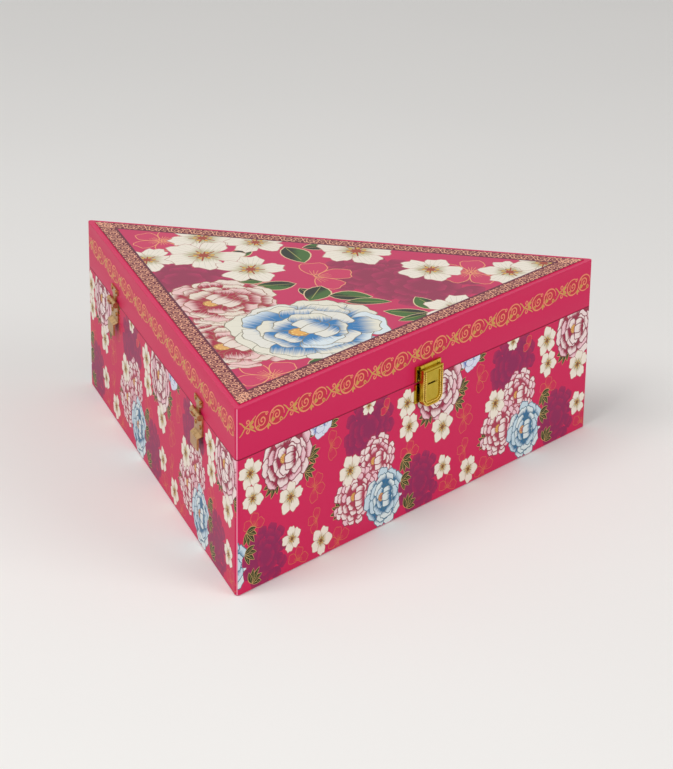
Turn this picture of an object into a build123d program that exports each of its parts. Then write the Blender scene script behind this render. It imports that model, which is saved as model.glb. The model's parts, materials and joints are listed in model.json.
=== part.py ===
from build123d import *
import math
import os

# A gift box for three jars, made of board covered with printed paper.
# Its plan is an equilateral triangle, and the whole lid swings up on two small hinges.
# The origin is the middle of the triangle, on the face that the box rests on, with +Z up.
# The side with the catch faces -Y. The side with the hinges faces back and to the left.
# All sizes are in millimetres.

# Outside of the box
side_length = 230.0  # outer side of the plan, measured to the sharp corners
base_height = 58.2
lid_height = 21.6
seam_gap = 0.2  # between the two papered rims when the lid is shut
corner_radius = 1.3  # upright edges, outside the paper

# Board and paper
wall_board = 4.0
panel_board = 3.0
paper = 0.3
turn_in = 12.0  # width of side paper folded under the base and over the lid
rim_turn_in = 9.0  # width of side paper folded over a rim and down inside
lining_drop = 3.0  # from a rim to the edge of the lining
print_margin = 2.4  # side paper left showing round the printed top
bottom_margin = 3.0  # side paper left showing round the bottom paper
fold_gap = 0.2  # between a folded edge and the sheet beside it

# Foam and satin
pad_foam = 3.0
satin = 0.5
insert_drop = 10.0  # from the rim of the base down to the top of the insert
insert_clearance = 0.4
well_diameter = 70.0
well_web = 4.0  # foam left between a well and the two sides beside it
mouth_radius = 1.2
pad_edge_radius = 1.5
foam_corner_radius = 6.0  # upright corners of the foam in the plan

# Hinges, both alike
hinge_end_distance = 49.5  # from the corner of the box to the middle of the hinge
hinge_sheet = 0.8
hinge_pin_diameter = 1.0
hinge_face_gap = 0.1  # from the knuckles to the paper
hinge_lid_knuckle_width = 4.2
hinge_base_knuckle_width = 3.1
hinge_knuckle_gap = 0.15
hinge_lid_leaf_width = 10.2
hinge_lid_leaf_height = 6.8
hinge_lid_shoulder = 4.2  # height at which the lid leaf reaches its full width
hinge_lid_shoulder_slope = 0.8
hinge_base_leaf_height = 8.2
hinge_tail_length = 6.1
hinge_tail_width = 9.4
hinge_tail_lift = 1.9  # how far the tail stands off the paper
hinge_tail_jog = 1.2  # height over which the leaf steps out to the tail
hinge_stop_reach = 0.75  # stop lug beyond the knuckle
hinge_stop_thickness = 0.7
hinge_nail_spacing = 6.4

# Catch
catch_sheet = 0.5
catch_pin_diameter = 1.0
catch_face_gap = 0.2
catch_plate_width = 16.0
catch_plate_height = 6.8
catch_knuckle_height = 6.1  # pin above the seam
catch_plate_knuckle_width = 2.2
catch_knuckle_gap = 0.15
catch_flap_width = 12.8
catch_flap_bottom = 11.0  # end of the flap below the seam
catch_flap_sheet = 0.7
catch_flap_depth = 2.2
catch_flap_proud = 3.6  # front of the flap from the paper
catch_flap_corner = 4.0
catch_border = 1.9
catch_border_relief = 0.4
catch_groove_inset = 0.7
catch_groove_width = 0.6
catch_slot_width = 6.2
catch_slot_height = 0.8
catch_slot_drop = 1.2  # middle of the slot below the seam
catch_keeper_height = 8.4
catch_keeper_drop = 1.0  # top of the keeper below the seam
catch_keeper_gap = 0.3  # between the keeper and the shut flap
catch_side_proud = 1.0  # turned-out sides of the plate and the keeper
catch_nose_width = 5.4
catch_nose_height = 1.8
catch_nail_spacing = 8.6

# Nails
nail_head_diameter = 1.9
nail_head_height = 0.4
nail_diameter = 0.8
nail_length = 3.4
running_clearance = 0.05

# Places worked out from the sizes
inradius = side_length / (2 * math.sqrt(3))
seam_height = base_height + seam_gap / 2
lid_bottom = base_height + seam_gap
box_top = lid_bottom + lid_height
floor_top = 2 * paper + panel_board
wall_inset = paper + wall_board
filling_inset = wall_inset + 2 * paper + insert_clearance
pad_top = floor_top + pad_foam
insert_top = base_height - insert_drop
lid_panel_bottom = box_top - 2 * paper - panel_board
well_radius = well_diameter / 2
front_turn = 0.0
left_turn = 240.0
right_turn = 120.0
mitre_angles = (-150, -30)
hinge_offset = side_length / 2 - hinge_end_distance
hinge_knuckle_radius = hinge_pin_diameter / 2 + running_clearance + hinge_sheet
hinge_pin_out = hinge_face_gap + hinge_knuckle_radius
hinge_width = hinge_lid_knuckle_width + 2 * (hinge_knuckle_gap + hinge_base_knuckle_width)
hinge_notch = hinge_knuckle_radius + hinge_knuckle_gap
catch_knuckle_radius = catch_pin_diameter / 2 + running_clearance + catch_sheet
catch_pin_out = catch_face_gap + catch_knuckle_radius
catch_flap_back = catch_flap_proud - catch_flap_depth
catch_keeper_proud = catch_flap_back - catch_keeper_gap
catch_flap_knuckle = catch_flap_width - 2 * (catch_plate_knuckle_width + catch_knuckle_gap)


def triangle(inset, radius=0.0):
    """Plan triangle drawn in from the outer faces, with rounded corners."""
    reach = 2 * (inradius - inset)
    turns = [math.radians(angle) for angle in (90, 210, 330)]
    face = Polygon(*[(reach * math.cos(turn), reach * math.sin(turn)) for turn in turns], align=None)
    if radius > 0:
        face = fillet(face.vertices(), radius)
    return face


def rounding(inset):
    """Corner radius of a layer that lies inside the outer paper face."""
    return max(corner_radius - inset, 0.2)


def slab(inset, bottom, top):
    """Flat triangular sheet or block."""
    return Pos(0, 0, bottom) * extrude(triangle(inset, rounding(inset)), top - bottom)


def foam_block(inset, bottom, top):
    """Block that fills the inside of the box, with well rounded corners."""
    return Pos(0, 0, bottom) * extrude(triangle(inset, foam_corner_radius), top - bottom)


def ring(outer_inset, inner_inset, bottom, top):
    """Upright strip that runs round the box between two insets."""
    return slab(outer_inset, bottom, top) - slab(inner_inset, bottom, top)


def on_side(turn):
    """Frame on the middle of one side at seam height: +X along it, -Y outwards, +Z up."""
    return Rot(0, 0, turn) * Pos(0, -inradius, seam_height)


def rod(radius, length):
    """Round rod along X, centred on the origin."""
    return Rot(0, 90, 0) * Cylinder(radius, length)


def plate(outline, start, thickness):
    """Sheet with the given front outline, its back face at a distance from the paper."""
    return Pos(0, -start, 0) * extrude(Plane.XZ * outline, thickness, dir=(0, -1, 0))


def wall(turn, bottom, top):
    """One mitred wall board. The mitres point at the middle of the box."""
    far = 2 * side_length
    ends = [math.radians(angle + turn) for angle in mitre_angles]
    wedge = Polygon((0, 0), *[(far * math.cos(end), far * math.sin(end)) for end in ends], align=None)
    return ring(paper, wall_inset, bottom, top) & Pos(0, 0, bottom) * extrude(wedge, top - bottom)


def base_wrap():
    side = ring(0, paper, paper, base_height)
    under = ring(0, turn_in, paper, 2 * paper)
    rim = ring(0, wall_inset + paper, base_height - paper, base_height)
    inside = ring(wall_inset, wall_inset + paper, base_height - rim_turn_in, base_height)
    return side + under + rim + inside


def lid_wrap():
    side = ring(0, paper, lid_bottom, box_top - paper)
    over = ring(0, turn_in, box_top - 2 * paper, box_top - paper)
    rim = ring(0, wall_inset + paper, lid_bottom, lid_bottom + paper)
    inside = ring(wall_inset, wall_inset + paper, lid_bottom, lid_bottom + rim_turn_in)
    return side + over + rim + inside


def bottom_paper():
    """Paper under the base: it lies over the folded edge and reaches the panel inside it."""
    cover = slab(bottom_margin, 0, paper)
    return cover + slab(turn_in + fold_gap, paper, 2 * paper)


def top_print():
    """Printed sheet on the lid: it lies over the folded edge and reaches the panel inside it."""
    cover = slab(print_margin, box_top - paper, box_top)
    return cover + slab(turn_in + fold_gap, box_top - 2 * paper, box_top - paper)


def base_lining():
    """Strip glued to the inside of the walls and over the folded edge of the side paper."""
    fold = base_height - rim_turn_in
    low = ring(wall_inset, wall_inset + paper, floor_top, fold - fold_gap - paper)
    step = ring(wall_inset, wall_inset + 2 * paper, fold - fold_gap - paper, fold - fold_gap)
    high = ring(wall_inset + paper, wall_inset + 2 * paper, fold - fold_gap, base_height - lining_drop)
    return low + step + high


def lid_lining():
    fold = lid_bottom + rim_turn_in
    high = ring(wall_inset, wall_inset + paper, fold + fold_gap + paper, lid_panel_bottom)
    step = ring(wall_inset, wall_inset + 2 * paper, fold + fold_gap, fold + fold_gap + paper)
    low = ring(wall_inset + paper, wall_inset + 2 * paper, lid_bottom + lining_drop, fold + fold_gap)
    return low + step + high


def well_places():
    """Centres of the three wells, one towards each corner."""
    reach = 2 * (inradius - filling_inset - well_web - well_radius - satin)
    turns = [math.radians(angle) for angle in (90, 210, 330)]
    return [(reach * math.cos(turn), reach * math.sin(turn)) for turn in turns]


def welled_block(radius, top, mouth):
    """Insert block with three wells through it and rounded well mouths."""
    block = foam_block(filling_inset, pad_top, top)
    for x, y in well_places():
        block -= Pos(x, y, pad_top) * Cylinder(radius, 2 * base_height)
    mouths = block.edges().filter_by(GeomType.CIRCLE).group_by(Axis.Z)[-1]
    mouths = [edge for edge in mouths if edge.radius > foam_corner_radius]
    return fillet(mouths, mouth)


def jar_insert():
    return welled_block(well_radius + satin, insert_top - satin, mouth_radius)


def insert_cover():
    """Satin glued over the top of the insert and down into the wells."""
    return welled_block(well_radius, insert_top, mouth_radius + satin) - jar_insert()


def lid_pad():
    return foam_block(filling_inset + satin, lid_panel_bottom - pad_foam, lid_panel_bottom)


def lid_pad_cover():
    """Satin round the pad under the lid, open where the pad is glued on."""
    cover = foam_block(filling_inset, lid_panel_bottom - pad_foam - satin, lid_panel_bottom)
    cover = fillet(cover.faces().sort_by(Axis.Z)[0].edges(), pad_edge_radius)
    return cover - lid_pad()


def nail(x, height, start):
    """Round-headed nail driven straight in, its head resting on a sheet."""
    head = Cylinder(nail_head_diameter / 2, nail_head_height, align=(Align.CENTER, Align.CENTER, Align.MIN))
    head = fillet(head.edges().sort_by(Axis.Z)[-1], nail_head_height * 0.7)
    shank = Cylinder(nail_diameter / 2, nail_length, align=(Align.CENTER, Align.CENTER, Align.MAX))
    return Pos(x, -start, height) * Rot(90, 0, 0) * (head + shank)


def nail_hole(x, height):
    """Cutter for the hole that a nail passes through in a metal sheet."""
    return Pos(x, 0, height) * Rot(90, 0, 0) * Cylinder(nail_diameter / 2 + running_clearance, 4 * nail_length)


def barrel(radius, hole_diameter, width, middle, out, height):
    """Rolled knuckle: a tube along X round a pin."""
    tube = rod(radius, width) - rod(hole_diameter / 2 + running_clearance, width)
    return Pos(middle, -out, height) * tube


def hinge_lid_leaf():
    """Leaf on the lid: a wide head and a narrow neck down to one knuckle, with the stop lug on it."""
    neck = hinge_lid_knuckle_width / 2
    head = hinge_lid_leaf_width / 2
    low = hinge_lid_shoulder - hinge_lid_shoulder_slope
    right = [(neck, hinge_knuckle_gap), (neck, low), (head, hinge_lid_shoulder), (head, hinge_lid_leaf_height)]
    left = [(-x, z) for x, z in reversed(right)]
    leaf = plate(Polygon(*right, *left, align=None), 0, hinge_sheet)
    leaf -= pin_space(hinge_pin_diameter, hinge_width, hinge_pin_out, 0)
    leaf += barrel(hinge_knuckle_radius, hinge_pin_diameter, hinge_lid_knuckle_width, 0, hinge_pin_out, 0)
    lug_start = hinge_pin_out + hinge_pin_diameter / 2 + hinge_sheet / 2
    lug_end = hinge_pin_out + hinge_knuckle_radius + hinge_stop_reach
    lug = Box(hinge_lid_knuckle_width, lug_end - lug_start, hinge_stop_thickness)
    leaf += Pos(0, -(lug_start + lug_end) / 2, 0) * lug
    for x in nail_pair(hinge_nail_spacing):
        leaf -= nail_hole(x, hinge_lid_nail_height())
    return leaf


def hinge_lid_nail_height():
    """Lid nails sit in the middle of the wide head of the leaf."""
    return (hinge_lid_shoulder + hinge_lid_leaf_height) / 2


def hinge_base_nail_height():
    """Base nails sit in the middle of the flat part of the leaf."""
    return -(hinge_notch + hinge_base_leaf_height) / 2


def nail_pair(spacing):
    return (-spacing / 2, spacing / 2)


def pin_space(diameter, width, out, height):
    """Cutter that keeps the hole for a pin open."""
    return Pos(0, -out, height) * rod(diameter / 2 + running_clearance, width)


def hinge_base_leaf():
    """Leaf on the base: two knuckles, a flat nailed part and a tail that steps out from the paper."""
    half = hinge_width / 2
    tail = hinge_tail_width / 2
    notch = hinge_lid_knuckle_width / 2 + hinge_knuckle_gap
    flat_end = -hinge_base_leaf_height
    tail_end = flat_end - hinge_tail_length
    jog_end = flat_end - hinge_tail_jog
    outline = Polygon(
        (half, -hinge_knuckle_gap), (half, flat_end), (tail, jog_end), (tail, tail_end),
        (-tail, tail_end), (-tail, jog_end), (-half, flat_end), (-half, -hinge_knuckle_gap), align=None)
    outline -= Rectangle(2 * notch, 2 * hinge_notch)
    tail_back = -hinge_tail_lift
    profile = Polygon(
        (0, 0), (0, flat_end), (tail_back, jog_end), (tail_back, tail_end),
        (tail_back - hinge_sheet, tail_end), (tail_back - hinge_sheet, jog_end),
        (-hinge_sheet, flat_end), (-hinge_sheet, 0), align=None)
    leaf = plate(outline, 0, 10 * hinge_sheet) & extrude(Plane.YZ * profile, hinge_width, both=True)
    leaf -= pin_space(hinge_pin_diameter, hinge_width, hinge_pin_out, 0)
    for middle in (-1, 1):
        place = middle * (hinge_width - hinge_base_knuckle_width) / 2
        leaf += barrel(hinge_knuckle_radius, hinge_pin_diameter, hinge_base_knuckle_width, place, hinge_pin_out, 0)
    for x in nail_pair(hinge_nail_spacing):
        leaf -= nail_hole(x, hinge_base_nail_height())
    return leaf


def hinge_pin():
    return Pos(0, -hinge_pin_out, 0) * rod(hinge_pin_diameter / 2, hinge_width)


def turned_sides(low, high):
    """Narrow sides turned out along the two upright edges of a catch plate."""
    reach = (catch_plate_width - catch_sheet) / 2
    strip = Rectangle(catch_sheet, high - low)
    outline = Pos(-reach, (low + high) / 2) * strip + Pos(reach, (low + high) / 2) * strip
    return plate(outline, 0, catch_side_proud)


def catch_plate():
    """Plate on the lid: its two top corners are rolled round the pin, with a notch for the flap."""
    height = catch_plate_height - hinge_knuckle_gap
    outline = Pos(0, hinge_knuckle_gap + height / 2) * Rectangle(catch_plate_width, height)
    notch_width = catch_flap_knuckle + 2 * catch_knuckle_gap
    notch_bottom = catch_knuckle_height - catch_knuckle_radius - catch_knuckle_gap
    notch = Pos(0, notch_bottom + height) * Rectangle(notch_width, 2 * height)
    leaf = plate(outline - notch, 0, catch_sheet)
    leaf -= pin_space(catch_pin_diameter, catch_flap_width, catch_pin_out, catch_knuckle_height)
    for side in (-1, 1):
        middle = side * (catch_flap_width - catch_plate_knuckle_width) / 2
        leaf += barrel(catch_knuckle_radius, catch_pin_diameter, catch_plate_knuckle_width, middle,
                       catch_pin_out, catch_knuckle_height)
    leaf += turned_sides(hinge_knuckle_gap, catch_plate_height)
    for x in nail_pair(catch_nail_spacing):
        leaf -= nail_hole(x, catch_plate_nail_height())
    return leaf


def catch_plate_nail_height():
    return (catch_knuckle_height - catch_knuckle_radius) / 2


def flap_outline(inset):
    """Front outline of the flap: square at the top, with large rounded corners at the bottom."""
    half = catch_flap_width / 2 - inset
    top = catch_knuckle_height - catch_knuckle_radius / 2 - inset
    bottom = -catch_flap_bottom + inset
    outline = Polygon((half, top), (half, bottom), (-half, bottom), (-half, top), align=None)
    return fillet(outline.vertices().group_by(Axis.Y)[0], catch_flap_corner - inset)


def catch_flap():
    """Hanging flap: a stamped shell with a ribbed border, a slot and one knuckle."""
    shell = plate(flap_outline(0), catch_flap_back, catch_flap_depth)
    hollow = catch_flap_depth - catch_flap_sheet
    shell -= plate(flap_outline(catch_flap_sheet), catch_flap_back, hollow)
    relief_start = catch_flap_proud - catch_border_relief
    shell -= plate(flap_outline(catch_border), relief_start, catch_border_relief)
    groove = flap_outline(catch_groove_inset) - flap_outline(catch_groove_inset + catch_groove_width)
    shell -= plate(groove, relief_start, catch_border_relief)
    shell -= pin_space(2 * (catch_knuckle_radius + catch_knuckle_gap), 2 * catch_flap_width, catch_pin_out,
                       catch_knuckle_height)
    slot = Pos(0, -catch_slot_drop) * SlotOverall(catch_slot_width, catch_slot_height)
    shell -= plate(slot, 0, 2 * catch_flap_proud)
    top = catch_knuckle_height - catch_knuckle_radius / 2
    neck = Pos(0, top - catch_flap_sheet / 2) * Rectangle(catch_flap_knuckle, catch_flap_sheet)
    shell += plate(neck, catch_pin_out, catch_flap_proud - catch_flap_sheet / 2 - catch_pin_out)
    shell -= pin_space(catch_pin_diameter, catch_flap_width, catch_pin_out, catch_knuckle_height)
    return shell + barrel(catch_knuckle_radius, catch_pin_diameter, catch_flap_knuckle, 0,
                          catch_pin_out, catch_knuckle_height)


def catch_pin():
    return Pos(0, -catch_pin_out, catch_knuckle_height) * rod(catch_pin_diameter / 2, catch_flap_width)


def catch_keeper():
    """Plate on the base with turned-out sides and a sloping nose behind the slot of the flap."""
    low = -catch_keeper_drop - catch_keeper_height
    top = -catch_keeper_drop
    outline = Pos(0, low + catch_keeper_height / 2) * Rectangle(catch_plate_width, catch_keeper_height)
    keeper = plate(outline, 0, catch_sheet) + turned_sides(low, top)
    nose = Polygon(
        (0, top), (-catch_keeper_proud, top), (-catch_keeper_proud, top - catch_nose_height / 3),
        (-catch_sheet, top - catch_nose_height), (0, top - catch_nose_height), align=None)
    keeper += extrude(Plane.YZ * nose, catch_nose_width / 2, both=True)
    keeper = round_keeper_ends(keeper)
    for x in nail_pair(catch_nail_spacing):
        keeper -= nail_hole(x, catch_keeper_nail_height())
    return keeper


def round_keeper_ends(keeper):
    """Rounds the lower ends of the turned-out sides."""
    corners = keeper.edges().filter_by(Axis.X).group_by(Axis.Z)[0].group_by(Axis.Y)[0]
    return fillet(corners, (catch_side_proud - catch_sheet) * 0.8)


def catch_keeper_nail_height():
    """Keeper nails sit below the nose, in the middle of the plate that is left."""
    return -catch_keeper_drop - (catch_nose_height + catch_keeper_height) / 2


def hinge_set():
    """Two hinges on the left side, each with its leaves and pin, and all their nails."""
    parts = {}
    lid_nails = []
    base_nails = []
    for name, place in (("rear", -hinge_offset), ("front", hinge_offset)):
        seat = on_side(left_turn) * Pos(place, 0, 0)
        parts[f"{name}_hinge_lid_leaf"] = seat * hinge_lid_leaf()
        parts[f"{name}_hinge_base_leaf"] = seat * hinge_base_leaf()
        parts[f"{name}_hinge_pin"] = seat * hinge_pin()
        for x in nail_pair(hinge_nail_spacing):
            lid_nails.append(seat * nail(x, hinge_lid_nail_height(), hinge_sheet))
            base_nails.append(seat * nail(x, hinge_base_nail_height(), hinge_sheet))
    parts["hinge_lid_nails"] = Compound(children=lid_nails)
    parts["hinge_base_nails"] = Compound(children=base_nails)
    return parts


def catch_set():
    """Catch on the front side, in the middle."""
    seat = on_side(front_turn)
    plate_nails = [seat * nail(x, catch_plate_nail_height(), catch_sheet) for x in nail_pair(catch_nail_spacing)]
    keeper_nails = [seat * nail(x, catch_keeper_nail_height(), catch_sheet) for x in nail_pair(catch_nail_spacing)]
    return {
        "catch_plate": seat * catch_plate(),
        "catch_flap": seat * catch_flap(),
        "catch_pin": seat * catch_pin(),
        "catch_keeper": seat * catch_keeper(),
        "catch_plate_nails": Compound(children=plate_nails),
        "catch_keeper_nails": Compound(children=keeper_nails),
    }


def base_set():
    parts = {
        "base_bottom_paper": bottom_paper(),
        "base_bottom_panel": slab(paper, 2 * paper, floor_top),
        "base_wrap_paper": base_wrap(),
        "base_lining_paper": base_lining(),
        "floor_pad": foam_block(filling_inset, floor_top, pad_top),
        "jar_insert": jar_insert(),
        "insert_satin_cover": insert_cover(),
    }
    for name, turn in (("front", front_turn), ("left", left_turn), ("right", right_turn)):
        parts[f"base_{name}_wall"] = wall(turn, floor_top, base_height - paper)
    return parts


def lid_set():
    parts = {
        "lid_top_panel": slab(paper, lid_panel_bottom, box_top - 2 * paper),
        "lid_wrap_paper": lid_wrap(),
        "lid_top_print": top_print(),
        "lid_lining_paper": lid_lining(),
        "lid_pad": lid_pad(),
        "lid_pad_satin_cover": lid_pad_cover(),
    }
    for name, turn in (("front", front_turn), ("left", left_turn), ("right", right_turn)):
        parts[f"lid_{name}_wall"] = wall(turn, lid_bottom + paper, lid_panel_bottom)
    return parts


os.makedirs("parts", exist_ok=True)
box = {**base_set(), **lid_set(), **hinge_set(), **catch_set()}
for node, shape in box.items():
    shape.label = node
    export_step(shape, f"parts/{node}.step")
    print(f"{node}: {len(shape.solids())} solid(s), {shape.volume:.1f} mm3")
print(f"{len(box)} nodes, box {side_length:.0f} mm a side and {box_top:.1f} mm high")
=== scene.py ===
# %% [markdown]
# # A papered gift box
# This lesson dresses a three-cornered gift box for three jars. Its fibreboard walls are wrapped
# in floral paper, two small plated hinges hold the lid, and a flap catch keeps it shut. The solid
# model is loaded first and stays where it is. It is the frame that every piece is fitted to.

# %% Load the frame
import json
import math
import random

import bpy
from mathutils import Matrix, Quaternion, Vector, noise
from mathutils.geometry import delaunay_2d_cdt


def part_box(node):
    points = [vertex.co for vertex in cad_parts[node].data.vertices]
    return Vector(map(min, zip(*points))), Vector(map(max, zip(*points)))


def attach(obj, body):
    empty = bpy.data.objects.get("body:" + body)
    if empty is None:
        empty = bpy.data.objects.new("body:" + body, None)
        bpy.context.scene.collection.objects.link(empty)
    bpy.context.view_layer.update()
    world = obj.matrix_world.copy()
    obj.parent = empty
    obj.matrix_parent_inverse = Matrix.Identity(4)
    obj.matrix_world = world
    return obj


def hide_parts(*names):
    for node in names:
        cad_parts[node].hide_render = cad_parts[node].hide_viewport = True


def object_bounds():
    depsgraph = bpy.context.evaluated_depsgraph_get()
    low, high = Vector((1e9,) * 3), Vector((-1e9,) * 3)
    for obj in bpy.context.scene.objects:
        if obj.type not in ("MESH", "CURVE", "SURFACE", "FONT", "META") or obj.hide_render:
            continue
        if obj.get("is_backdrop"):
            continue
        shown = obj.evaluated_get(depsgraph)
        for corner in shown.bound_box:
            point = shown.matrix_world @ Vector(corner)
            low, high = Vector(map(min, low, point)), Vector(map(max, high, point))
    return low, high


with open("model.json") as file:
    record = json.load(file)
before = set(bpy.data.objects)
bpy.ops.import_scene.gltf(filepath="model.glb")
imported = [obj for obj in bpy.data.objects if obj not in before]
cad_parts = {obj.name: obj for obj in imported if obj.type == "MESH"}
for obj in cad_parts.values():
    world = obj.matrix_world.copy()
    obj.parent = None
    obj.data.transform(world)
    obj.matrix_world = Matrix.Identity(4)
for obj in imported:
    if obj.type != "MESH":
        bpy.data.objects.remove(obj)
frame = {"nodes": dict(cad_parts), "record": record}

mm = 0.001
cad_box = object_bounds()

# %% [markdown]
# ## Camera
# The photograph looks down at the box from in front of its left corner. The corners of the box
# gave the camera's place, its direction and a roll of under a degree. The lens is a long one, so
# that the far edges shrink only a little. Depth of field stays off, and every edge is sharp.

# %% Set up the camera
camera_place = Vector((-0.8155, -0.7197, 0.4876))
camera_direction = Vector((0.69998, 0.60274, -0.38304))
camera_roll = math.radians(0.797)
camera_lens = 128.3

camera = bpy.data.objects.new("camera", bpy.data.cameras.new("camera"))
camera.data.lens = camera_lens
camera.data.sensor_width = 36
camera.location = camera_place
camera.rotation_mode = "QUATERNION"
camera.rotation_quaternion = (
    camera_direction.to_track_quat("-Z", "Y") @ Quaternion((0, 0, 1), camera_roll)
)
bpy.context.collection.objects.link(camera)
bpy.context.scene.camera = camera
bpy.context.scene.view_settings.view_transform = "Standard"
print("Camera at", tuple(round(value, 3) for value in camera.location))

# %% [markdown]
# ## Colours and nodes
# Painters mix colours by eye in sRGB, while Blender adds light in linear values, so one function
# turns a hex colour into linear numbers. Another small function adds a shader node, sets its
# inputs and joins its links. Every material below is a short list of calls to it.

# %% Helpers for colours and nodes
def colour(code, alpha=1.0):
    """A linear colour from an sRGB hex code."""
    channels = [int(code[place:place + 2], 16) / 255 for place in (1, 3, 5)]
    linear = [c / 12.92 if c <= 0.04045 else ((c + 0.055) / 1.055) ** 2.4 for c in channels]
    return (*linear, alpha)


def add(tree, kind, links=None, settings=None, **inputs):
    """Adds a node with its settings, input values and incoming links."""
    node = tree.nodes.new(kind)
    for name, value in (settings or {}).items():
        setattr(node, name, value)
    for name, value in inputs.items():
        node.inputs[int(name[1:]) if name[1:].isdigit() else name.replace("_", " ")].default_value = value
    for name, source in (links or {}).items():
        tree.links.new(source, node.inputs[name])
    return node


def new_material(name, **inputs):
    """A material with one Principled shader, and the shader's values."""
    material = bpy.data.materials.new(name)
    material.use_nodes = True
    shader = material.node_tree.nodes["Principled BSDF"]
    for key, value in inputs.items():
        shader.inputs[key.replace("_", " ")].default_value = value
    return material, material.node_tree, shader


def dress(material, *nodes):
    """Gives a material to every slot of some CAD nodes."""
    for node in nodes:
        for slot in frame["nodes"][node].material_slots:
            slot.material = material


print("Pure pink in linear values:", [round(value, 3) for value in colour("#D02860")])

# %% [markdown]
# ## Floor and light
# A plain pale floor and soft studio light show the box without colouring it. The world gives an
# even fill, a wide lamp from the left and above makes the short shadow, and a weaker one opens up
# the front. The levels add up so that a colour renders about as it is written.

# %% Build the floor and the lights
bpy.ops.mesh.primitive_plane_add(size=12, location=(0, 0, 0))
floor = bpy.context.object
floor.name = "studio_floor"
floor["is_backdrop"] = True

# Matt studio paper: pale, with no gloss, and faintly mottled.
floor_material, tree, shader = new_material("matt_studio_paper", Roughness=0.9, Specular_IOR_Level=0.1)
place = add(tree, "ShaderNodeTexCoord")
mottle = add(tree, "ShaderNodeTexNoise", {"Vector": place.outputs["Object"]}, Scale=3.0, Detail=2.0)
paper = add(tree, "ShaderNodeMix", {0: mottle.outputs[0]}, {"data_type": "RGBA"},
            _6=colour("#EFEDEA"), _7=colour("#F5F3F0"))
tree.links.new(paper.outputs[2], shader.inputs["Base Color"])
floor.data.materials.append(floor_material)

world = bpy.data.worlds.new("studio")
bpy.context.scene.world = world
world.use_nodes = True
tree = world.node_tree
background = tree.nodes["Background"]
rays = add(tree, "ShaderNodeLightPath")
camera_or_gloss = add(tree, "ShaderNodeMath",
                      {0: rays.outputs["Is Camera Ray"], 1: rays.outputs["Is Glossy Ray"]},
                      {"operation": "MAXIMUM"})
seen = add(tree, "ShaderNodeMath", {0: camera_or_gloss.outputs[0], 1: rays.outputs["Is Transmission Ray"]},
           {"operation": "MAXIMUM"})
world_fill = 0.44
world_seen = 0.95
level = add(tree, "ShaderNodeMapRange", {"Value": seen.outputs[0]}, To_Min=world_fill, To_Max=world_seen)
tree.links.new(level.outputs[0], background.inputs["Strength"])
background.inputs["Color"].default_value = (1, 1, 1, 1)


def soft_lamp(name, place, aim, size, power):
    """A square area lamp that points at a place."""
    light = bpy.data.lights.new(name, "AREA")
    light.size = size
    light.energy = power
    lamp = bpy.data.objects.new(name, light)
    lamp.location = place
    lamp.rotation_euler = (Vector(aim) - Vector(place)).to_track_quat("-Z", "Y").to_euler()
    bpy.context.collection.objects.link(lamp)


soft_lamp("key_lamp", (-0.9, 0.1, 1.3), (0, 0, 0.03), 0.9, 12)
soft_lamp("front_lamp", (0.2, -1.5, 0.8), (0, 0, 0.04), 1.0, 8)
print("World fill", world_fill)

# %% [markdown]
# ## The printed paper
# The box is covered in offset-printed paper with gold line work. A print is flat, so it is drawn
# flat: petals, leaves and scrolls are outlines in millimetres, laid over each other in order, as
# a printer's artwork is. A constrained Delaunay triangulation then cuts them into one flat mesh
# in which every face belongs to the topmost shape. Each corner carries the shape's two inks and a
# brush value, and one material paints the gradients and fine strokes from them.

# %% Outlines for the print
def towards(turn):
    """A step of length one in a direction."""
    return Vector((math.cos(turn), math.sin(turn)))


def circle_loop(centre, radius, steps=10):
    """A round outline."""
    return [Vector(centre) + radius * towards(math.tau * step / steps) for step in range(steps)]


def petal_loop(root, heading, length, width, frill, waves, narrow, steps):
    """A petal's outline, narrow at its root and frilled at its lip."""
    ahead = towards(heading)
    side = Vector((-ahead.y, ahead.x))
    loop = []
    for step in range(steps):
        turn = math.tau * step / steps
        along = 0.5 + 0.5 * math.cos(turn)
        across = 0.5 * math.sin(turn) * (narrow + (1 - narrow) * along ** 0.7)
        lip = 1 + frill * math.cos(waves * turn + heading * 3) * along
        loop.append(Vector(root) + ahead * (length * along * lip) + side * (width * across * lip))
    return loop


def leaf_loop(root, heading, length, width, steps=7):
    """A leaf's outline, pointed at both ends and bent a little."""
    ahead = towards(heading)
    side = Vector((-ahead.y, ahead.x))
    upper = []
    lower = []
    for step in range(steps + 1):
        along = step / steps
        half = 0.5 * width * math.sin(math.pi * along) ** 0.75 * (1.15 - 0.3 * along)
        bend = 0.12 * length * math.sin(math.pi * along)
        spine = Vector(root) + ahead * (length * along) + side * bend * 0.4
        upper.append(spine + side * half)
        lower.append(spine - side * half)
    return lower + upper[-2:0:-1]


def spiral_points(centre, radius, start, turns, shrink, steps):
    """Points along a curl that winds in from its start towards its centre."""
    points = []
    for step in range(steps + 1):
        share = step / steps
        reach = radius * (1 - (1 - shrink) * share)
        turn = start + math.tau * turns * share
        points.append(Vector(centre) + reach * towards(turn))
    return points


print("A leaf outline has", len(leaf_loop((0, 0), 0, 10, 4)), "points")

# %% Shapes for the print
petal_white = "#F0E7D8"
print_pink = "#D01B55"
shadow_plum = "#902056"
vein_ink = "#CDC5B2"
vein_width = 0.16


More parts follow.
